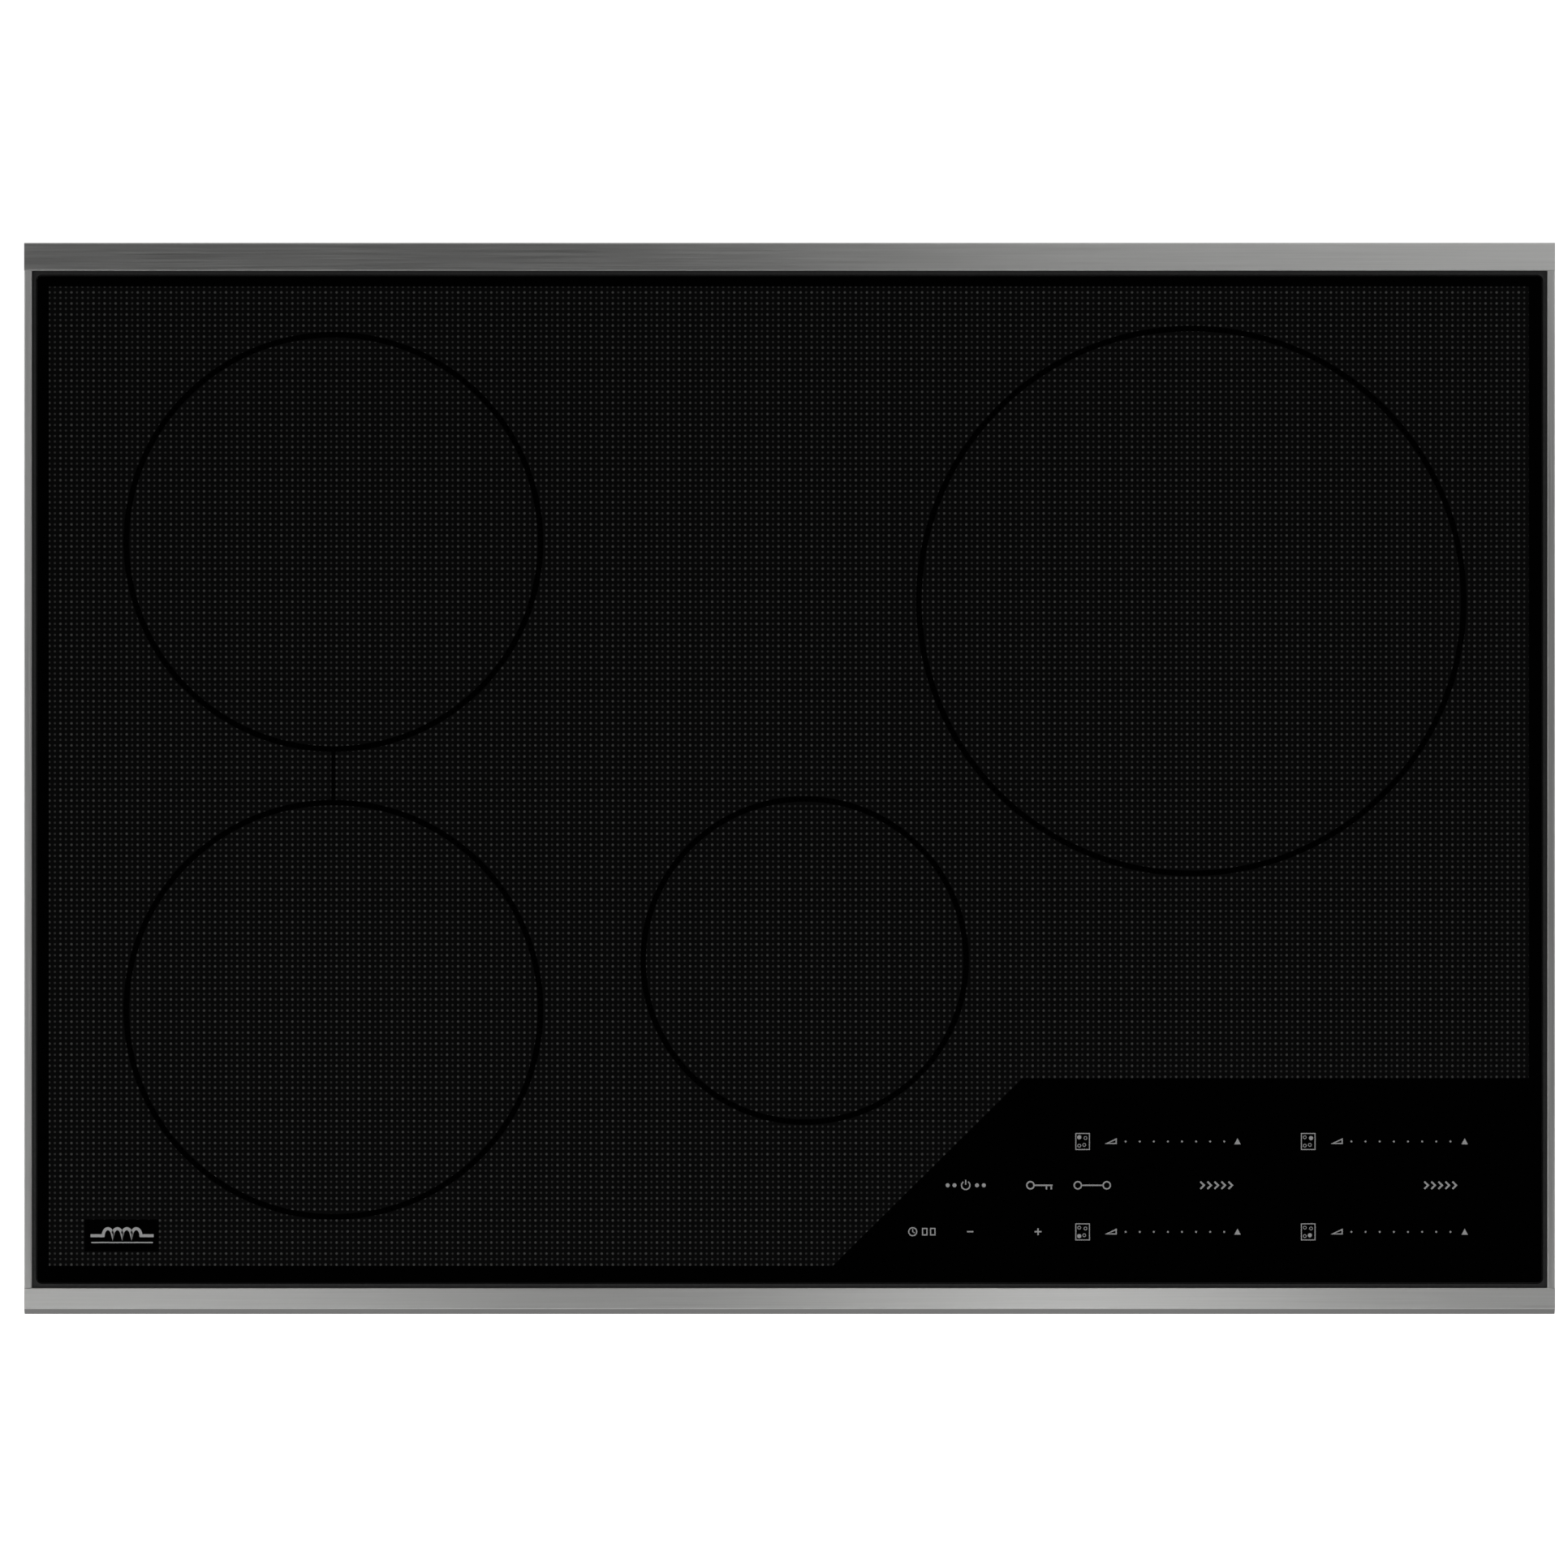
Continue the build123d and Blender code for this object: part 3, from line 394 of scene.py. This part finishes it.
def circuit_board():
    """Green solder mask over patches of straight copper tracks, with solder pads."""
    paint = Paint("green_board", (0.02, 0.16, 0.07), 0.35, Coat_Weight=0.25, Coat_Roughness=0.2)
    x, y, _ = paint.axes()
    patch = paint.cells(70.0, output="Color")
    turned = paint.math("GREATER_THAN", patch, 0.5)
    upright = paint.math("MULTIPLY", x, turned)
    level = paint.math("MULTIPLY", y, paint.math("SUBTRACT", 1.0, turned))
    across = paint.math("ADD", upright, level)
    tracks = paint.spread(paint.math("PINGPONG", across, TRACK_PITCH / 2), 1.0, 0.0, 0.2, 0.34)
    green = paint.blend(tracks, (0.012, 0.12, 0.05), (0.03, 0.22, 0.09))
    pads = paint.cells(420.0)
    solder = paint.spread(pads, 1.0, 0.0, 0.08, 0.12)
    paint.drive("Base Color", paint.blend(paint.math("MULTIPLY", solder, 0.7), green, (0.45, 0.46, 0.44)))
    paint.drive("Roughness", paint.spread(pads, 0.3, 0.42, 0.1, 0.6))
    paint.bump(tracks, 0.04, 0.5)
    return paint.material


def banded(name, dark, light, scale, direction, roughness, metallic=0.0, distortion=0.3):
    """A finish in close parallel bands: cable conductors, wound wire or capacitor sleeves."""
    paint = Paint(name, light, roughness, metallic)
    bands = paint.waves(scale, direction, distortion)
    cloud = paint.noise(160.0, detail=3.0)
    factor = paint.math("MULTIPLY", bands, paint.spread(cloud, 0.75, 1.0))
    paint.drive("Base Color", paint.blend(factor, dark, light))
    paint.drive("Roughness", paint.spread(cloud, roughness - 0.06, roughness + 0.1))
    paint.bump(bands, 0.15, 0.6)
    return paint.material


def litz():
    """Enamelled strands twisted into a bundle: fine diagonal ridges."""
    paint = Paint("litz_copper", (0.55, 0.24, 0.10), 0.38, 0.85)
    strands = paint.waves(620.0, "DIAGONAL", 1.5)
    cloud = paint.noise(60.0, detail=4.0)
    factor = paint.math("MULTIPLY", strands, paint.spread(cloud, 0.6, 1.0))
    paint.drive("Base Color", paint.blend(factor, (0.26, 0.10, 0.045), (0.72, 0.36, 0.17)))
    paint.drive("Roughness", paint.spread(cloud, 0.32, 0.5))
    paint.bump(strands, 0.3, 0.7)
    return paint.material


def felt():
    """Ceramic-fibre felt."""
    paint = Paint("ceramic_felt", (0.8, 0.79, 0.75), 0.95, Sheen_Weight=0.3)
    fibre = paint.noise(700.0, detail=6.0, roughness=0.75)
    cloud = paint.noise(22.0, detail=4.0)
    factor = paint.math("MULTIPLY", paint.spread(fibre, 0.3, 1.0), paint.spread(cloud, 0.8, 1.0))
    paint.drive("Base Color", paint.blend(factor, (0.58, 0.56, 0.52), (0.85, 0.84, 0.80)))
    paint.drive("Roughness", paint.spread(fibre, 0.88, 1.0))
    paint.bump(fibre, 0.4, 0.7)
    return paint.material


def printed_ink():
    """Pale grey enamel fired on the glass."""
    paint = Paint("printed_ink", (0.2, 0.2, 0.2), 0.45)
    grain = paint.noise(2500.0, detail=2.0)
    paint.tint(grain, (0.30, 0.30, 0.302), (0.42, 0.42, 0.42))
    paint.drive("Roughness", paint.spread(grain, 0.38, 0.55))
    return paint.material


FINISHES = {
    "black_glass": glass_paint(),
    "black_silicone": moulded("black_silicone", (0.0015, 0.0015, 0.0015), 0.7, 600.0),
    "brushed_stainless": brushed("brushed_stainless", STEEL, STEEL_ROUGHNESS, "X"),
    "zinc_screw": plated("zinc_screw", (0.62, 0.63, 0.65)),
    "black_foam": foam(),
    "galvanised_steel": galvanised(),
    "white_plastic": moulded("white_plastic", (0.78, 0.78, 0.75), 0.45, drift=0.03),
    "tray_aluminium": brushed("tray_aluminium", (0.74, 0.75, 0.76), 0.4, "X", 0.6),
    "black_plastic": moulded("black_plastic", (0.022, 0.022, 0.024), 0.5, 1200.0, 0.04),
    "motor_steel": plated("motor_steel", (0.28, 0.29, 0.30), 0.42),
    "green_board": circuit_board(),
    "capacitor_blue": banded("capacitor_blue", (0.03, 0.04, 0.09), (0.06, 0.08, 0.16), 40.0, "Z", 0.3),
    "choke_copper": banded("choke_copper", (0.22, 0.08, 0.03), (0.62, 0.28, 0.12), 330.0, "X", 0.35, 0.8),
    "spring_steel": plated("spring_steel", (0.66, 0.66, 0.67), 0.25),
    "ribbon_grey": banded("ribbon_grey", (0.30, 0.31, 0.33), (0.58, 0.59, 0.61), 250.0, "X", 0.45, 0.0, 0.0),
    "sensor_ceramic": moulded("sensor_ceramic", (0.84, 0.82, 0.77), 0.7, 900.0, drift=0.05),
    "carrier_plastic": moulded("carrier_plastic", (0.07, 0.07, 0.07), 0.55, 700.0, 0.06),
    "litz_copper": litz(),
    "ferrite": moulded("ferrite", (0.045, 0.045, 0.05), 0.6, 1500.0, 0.04, 0.25),
    "ceramic_felt": felt(),
}
SIDE_STEEL = brushed("brushed_stainless_side", STEEL, STEEL_ROUGHNESS, "Y")
SIDE_RAILS = ("trim_left", "trim_right")
# The front bar's steel has painted shade on its sloped outer edge.
FRONT_EDGE_PAINTED_SHADE_Y = BOX_LOW[1] / MM + FRONT_EDGE_WIDTH
FRONT_STEEL_WITH_PAINTED_SHADE = brushed("brushed_stainless_front_painted_shade", STEEL, STEEL_ROUGHNESS, "X", painted_shade_y=FRONT_EDGE_PAINTED_SHADE_Y)
INK = printed_ink()


def dress_nodes():
    """Gives every CAD node the finish that the record names. Three of the bars have their own steel, and the
    front bar's has painted shade on its sloped outer edge.
    """
    for part in frame["record"]["subparts"]:
        name = part["node"]
        finish = FINISHES[part["material_slot"]]
        if name in SIDE_RAILS:
            finish = SIDE_STEEL
        elif name == "trim_front":
            finish = FRONT_STEEL_WITH_PAINTED_SHADE
        for slot in NODES[name].material_slots:
            slot.material = finish


# ---------------------------------------------------------------- printed marks

# The least cosine of a corner's half turn, so that a sharp corner's mitre doesn't run far out.
MITRE_LIMIT = 0.3


def around(x, y, radius, angle):
    """The point of a circle at an angle in radians."""
    return (x + radius * math.cos(angle), y + radius * math.sin(angle))


class Print:
    """Thin ink shapes on the glass, collected in one mesh. Points are in millimetres."""

    def __init__(self, name):
        self.name = name
        self.bm = bmesh.new()
        self.z = (GLASS_TOP, GLASS_TOP + INK_HEIGHT * MM)

    def layer(self, points, level):
        """New points at the foot of the ink (level 0) or on its top (level 1)."""
        return [self.bm.verts.new((x * MM, y * MM, self.z[level])) for x, y in points]

    def filled(self, points):
        """A filled convex outline, given counter-clockwise."""
        low, high = self.layer(points, 0), self.layer(points, 1)
        self.bm.faces.new(high)
        self.bm.faces.new(low[::-1])
        for k in range(len(points)):
            n = (k + 1) % len(points)
            self.bm.faces.new((low[k], low[n], high[n], high[k]))

    def line(self, points, width, closed=False):
        """A line of constant width through points, with mitred corners."""
        count = len(points)
        left, right = [], []
        for k in range(count):
            here = Vector(points[k])
            back = Vector(points[k - 1]) if closed or k > 0 else here
            ahead = Vector(points[(k + 1) % count]) if closed or k < count - 1 else here
            first = (here - back).normalized() if here != back else (ahead - here).normalized()
            second = (ahead - here).normalized() if here != ahead else first
            normal = Vector((-first.y - second.y, first.x + second.x)).normalized()
            reach = width / 2 / max(MITRE_LIMIT, normal.dot(Vector((-first.y, first.x))))
            left.append(here + normal * reach)
            right.append(here - normal * reach)
        rows = [self.layer(side, level) for level in (0, 1) for side in (left, right)]
        low_left, low_right, high_left, high_right = rows
        strips = (
            (high_right, high_left),
            (low_left, low_right),
            (low_right, high_right),
            (high_left, low_left),
        )
        for k in range(count if closed else count - 1):
            n = (k + 1) % count
            for one, other in strips:
                self.bm.faces.new((one[k], one[n], other[n], other[k]))
        if not closed:
            self.bm.faces.new((low_left[0], low_right[0], high_right[0], high_left[0]))
            self.bm.faces.new((high_left[-1], high_right[-1], low_right[-1], low_left[-1]))

    def rectangle(self, x, y, half_width, half_height, width):
        """The outline of a rectangle round a centre."""
        left, right = x - half_width, x + half_width
        front, rear = y - half_height, y + half_height
        self.line([(left, front), (right, front), (right, rear), (left, rear)], width, True)

    def dot(self, x, y, radius, sides=16):
        turn = 2 * math.pi / sides
        self.filled([around(x, y, radius, k * turn) for k in range(sides)])

    def arc(self, x, y, radius, width, start=0.0, end=360.0, steps=24):
        """Part of a ring, or a whole one, between two angles in degrees."""
        closed = end - start >= 360
        count = steps if closed else steps + 1
        angles = [math.radians(start + (end - start) * k / steps) for k in range(count)]
        self.line([around(x, y, radius, angle) for angle in angles], width, closed)

    def finish(self):
        """Makes the piece and fixes it to the cooktop."""
        mesh = bpy.data.meshes.new(self.name)
        bmesh.ops.recalc_face_normals(self.bm, faces=self.bm.faces)
        self.bm.to_mesh(mesh)
        self.bm.free()
        mesh.materials.append(INK)
        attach(add_object(self.name, mesh), "cooktop")


# A slider's x places: zone plan, low mark, first dot, last dot and high mark.
SLIDER_COLUMNS = {
    "left": (145.9, 160.2, 167.3, 216.4, 223.0),
    "right": (258.2, 272.7, 279.7, 329.0, 336.1),
}
SLIDER_ROWS = {"upper": -180.7, "lower": -225.7}
SLIDER_ZONES = {
    ("upper", "left"): "left_rear",
    ("lower", "left"): "left_front",
    ("upper", "right"): "right_rear",
    ("lower", "right"): "centre_front",
}
SLIDER_DOTS = 8

# Where each zone is on a zone plan, from its middle.
PLAN_SPOTS = {
    "left_rear": (-1.7, 2.1),
    "left_front": (-1.7, -2.1),
    "centre_front": (0.8, -1.7),
    "right_rear": (1.4, 1.7),
}


def zone_plan(ink, x, y, chosen):
    """A small plan of the zones, with the chosen one filled."""
    ink.rectangle(x, y, 3.4, 4.0, 0.45)
    for name, (dx, dy) in PLAN_SPOTS.items():
        if name == chosen:
            ink.dot(x + dx, y + dy, 1.05)
        else:
            ink.arc(x + dx, y + dy, 0.75, 0.3, steps=14)


def print_sliders():
    """The four slider scales: zone plan, low mark, dots and high mark."""
    for (row, column), zone in SLIDER_ZONES.items():
        plan_x, low_x, first, last, high_x = SLIDER_COLUMNS[column]
        y = SLIDER_ROWS[row]
        ink = Print(f"print_slider_{row}_{column}")
        zone_plan(ink, plan_x, y, zone)
        ink.line([(low_x - 2.4, y - 1.0), (low_x + 2.4, y - 1.0), (low_x + 2.4, y + 1.2)], 0.6, True)
        for k in range(SLIDER_DOTS):
            ink.dot(first + (last - first) * k / (SLIDER_DOTS - 1), y, 0.48)
        ink.filled([(high_x - 1.6, y - 1.4), (high_x + 1.6, y - 1.4), (high_x, y + 1.6)])
        ink.finish()


def print_all_off(x, y):
    """A power sign between four dots that stand for the zones."""
    ink = Print("print_all_off")
    ink.arc(x, y, 2.1, 0.6, 125, 415)
    ink.line([(x, y + 0.3), (x, y + 2.7)], 0.6)
    for dx in (-9.0, -5.6, 5.6, 9.0):
        ink.dot(x + dx, y, 1.0)
    ink.finish()


def print_key(x, y):
    """A key, for the lock."""
    ink = Print("print_lock")
    ink.arc(x - 4.4, y, 1.8, 0.7)
    ink.line([(x - 2.2, y), (x + 6.6, y)], 0.75)
    for dx in (3.6, 6.0):
        ink.line([(x + dx, y - 0.5), (x + dx, y - 2.1)], 0.75)
    ink.finish()


def print_bridge(x, y):
    """Two zones joined by a bar, for the bridge."""
    ink = Print("print_bridge")
    for side in (-1, 1):
        ink.arc(x + side * 7.2, y, 1.8, 0.65)
    ink.line([(x - 5.0, y), (x + 5.0, y)], 0.7)
    ink.finish()


def print_boost(name, x, y):
    """A row of chevrons, for full power."""
    ink = Print(name)
    for dx in (-7.0, -3.5, 0.0, 3.5, 7.0):
        ink.line([(x + dx - 1.2, y - 1.8), (x + dx + 0.7, y), (x + dx - 1.2, y + 1.8)], 0.85)
    ink.finish()


def print_timer(x, y):
    """A clock face and two noughts, for the timer."""
    ink = Print("print_timer")
    ink.arc(x - 4.6, y, 2.0, 0.55)
    ink.line([(x - 4.6, y + 1.3), (x - 4.6, y), (x - 3.6, y - 0.6)], 0.45)
    for dx in (1.4, 5.4):
        ink.rectangle(x + dx, y, 1.1, 1.6, 0.55)
    ink.finish()


def print_minus(x, y):
    """A short line, for less time."""
    ink = Print("print_minus")
    ink.line([(x - 1.6, y), (x + 1.6, y)], 0.7)
    ink.finish()


def print_plus(x, y):
    """A cross, for more time. Its upright is in two halves, which end at the level line's edges."""
    ink = Print("print_plus")
    ink.line([(x - 1.7, y), (x + 1.7, y)], 0.7)
    for side in (-1, 1):
        ink.line([(x, y + side * 0.35), (x, y + side * 1.7)], 0.7)
    ink.finish()


def print_coil_sign(left, y):
    """A plain coil of four loops with a rule below it."""
    ink = Print("print_coil_sign")
    lead, radius, steps = 6.3, 2.35, 10
    points = [(left, y), (left + lead, y)]
    for loop in range(4):
        centre = left + lead + radius * (2 * loop + 1)
        for step in range(1, steps + 1):
            angle = math.pi * step / steps
            points.append((centre - radius * math.cos(angle), y + 1.5 * radius * math.sin(angle)))
    points.append((left + 31.4, y))
    ink.line(points, 1.5)
    ink.line([(left + 0.4, y - 3.4), (left + 31.0, y - 3.4)], 0.6)
    ink.finish()


def print_marks():
    """All the signs of the control panel, and the coil sign near the front left corner."""
    label_y, timer_y = -202.5, -225.6
    print_sliders()
    print_all_off(87.7, label_y)
    print_key(124.3, label_y)
    print_bridge(150.7, label_y)
    print_boost("print_boost_left", 212.7, label_y)
    print_boost("print_boost_right", 324.2, label_y)
    print_timer(65.9, timer_y)
    print_minus(89.9, timer_y)
    print_plus(123.7, timer_y)
    print_coil_sign(-348.0, -227.6)


# ---------------------------------------------------------------- copies of the coil springs


def squash_springs():
    """Copies of the coil springs, fixed to the cooktop in place of the hidden CAD springs."""
    for zone in ZONES:
        node = f"{zone}_coil_springs"
        piece = add_object(f"{zone}_spring_set", NODES[node].data.copy())
        for slot in piece.material_slots:
            slot.material = FINISHES["spring_steel"]
        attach(piece, "cooktop")
        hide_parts(node)
        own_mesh(piece)


# ---------------------------------------------------------------- stage, light and camera

# Lengths in this section are in metres, as the stage isn't part of the object.
FLOOR_HALF = 6.0

# The light from all round: how far up, from level (0) to straight overhead (1), and how bright.
SKY = [(0.0, 0.32), (0.45, 0.24), (0.75, 0.08), (0.93, 0.015), (1.0, 0.005)]

# Each soft light's name, place, size, power and the point that it faces.
SOFTBOXES = [
    ("softbox_front", (0.0, -0.62, 0.9), (2.4, 0.3), 3.1, (0.0, -0.26, 0.1)),
    ("softbox_front_left", (-0.40, -0.62, 0.9), (0.36, 0.2), 0.7, (-0.33, -0.26, 0.1)),
    ("softbox_front_middle", (0.165, -0.62, 0.9), (0.22, 0.2), 0.68, (0.14, -0.26, 0.1)),
    ("softbox_rear_right", (0.47, 0.62, 0.9), (0.9, 0.4), 1.95, (0.3, 0.26, 0.1)),
    ("softbox_left", (-0.95, 0.0, 0.9), (1.3, 0.3), 2.95, (-0.38, 0.0, 0.1)),
    ("softbox_right", (0.95, 0.0, 0.9), (1.3, 0.3), 1.5, (0.38, 0.0, 0.1)),
]

# The camera sees this width at the cooktop's top, and stands this far off the cooktop's centre.
PICTURE_WIDTH = 0.7804
CAMERA_SHIFT = (-2.77 * MM, -2.73 * MM)
LENS = 200.0
SENSOR = 36.0


def make_floor():
    """A pale floor that glows a little, like a light table."""
    mesh = bpy.data.meshes.new("floor")
    corners = [(x * FLOOR_HALF, y * FLOOR_HALF, 0) for x, y in ((-1, -1), (1, -1), (1, 1), (-1, 1))]
    mesh.from_pydata(corners, [], [(0, 1, 2, 3)])
    paint = Paint("pale_floor", (0.82, 0.82, 0.82), 0.9, Specular_IOR_Level=0.1)
    paint.set("Emission Color", (1.0, 1.0, 1.0, 1.0))
    paint.set("Emission Strength", 0.8)
    mesh.materials.append(paint.material)
    add_object("floor", mesh)


def make_world():
    """Soft light from all round, which fades to dark straight overhead."""
    world = bpy.data.worlds.new("studio")
    world.use_nodes = True
    bpy.context.scene.world = world
    tree = world.node_tree
    background = tree.nodes["Background"]
    place = tree.nodes.new("ShaderNodeTexCoord")
    split = tree.nodes.new("ShaderNodeSeparateXYZ")
    ramp = tree.nodes.new("ShaderNodeValToRGB")
    tree.links.new(place.outputs["Generated"], split.inputs[0])
    tree.links.new(split.outputs["Z"], ramp.inputs[0])
    tree.links.new(ramp.outputs["Color"], background.inputs["Color"])
    elements = ramp.color_ramp.elements
    while len(elements) < len(SKY):
        elements.new(0.5)
    for element, (position, level) in zip(elements, SKY):
        element.position = position
        element.color = (level, level, level, 1.0)
    background.inputs["Strength"].default_value = 1.0


def add_softbox(name, place, size, power, target):
    """A rectangular soft light that faces the target and that the camera doesn't see."""
    data = bpy.data.lights.new(name, "AREA")
    data.shape = "RECTANGLE"
    data.size, data.size_y = size
    data.energy = power
    light = add_object(name, data)
    light.location = place
    light.rotation_mode = "QUATERNION"
    light.rotation_quaternion = (Vector(target) - Vector(place)).to_track_quat("-Z", "Y")
    light.visible_camera = False


def make_camera():
    """A long lens straight above, with the object a little off centre."""
    data = bpy.data.cameras.new("camera")
    data.lens, data.sensor_width = LENS, SENSOR
    data.clip_start, data.clip_end = 0.1, 50.0
    camera = add_object("camera", data)
    centre = (Vector(BOX_LOW) + Vector(BOX_HIGH)) / 2
    height = BOX_HIGH[2] + PICTURE_WIDTH * LENS / SENSOR
    camera.location = (centre.x + CAMERA_SHIFT[0], centre.y + CAMERA_SHIFT[1], height)
    bpy.context.scene.camera = camera


make_camera()
dress_nodes()
print_marks()
squash_springs()
make_floor()
make_world()
for softbox in SOFTBOXES:
    add_softbox(*softbox)
bpy.context.scene.view_settings.view_transform = "Standard"
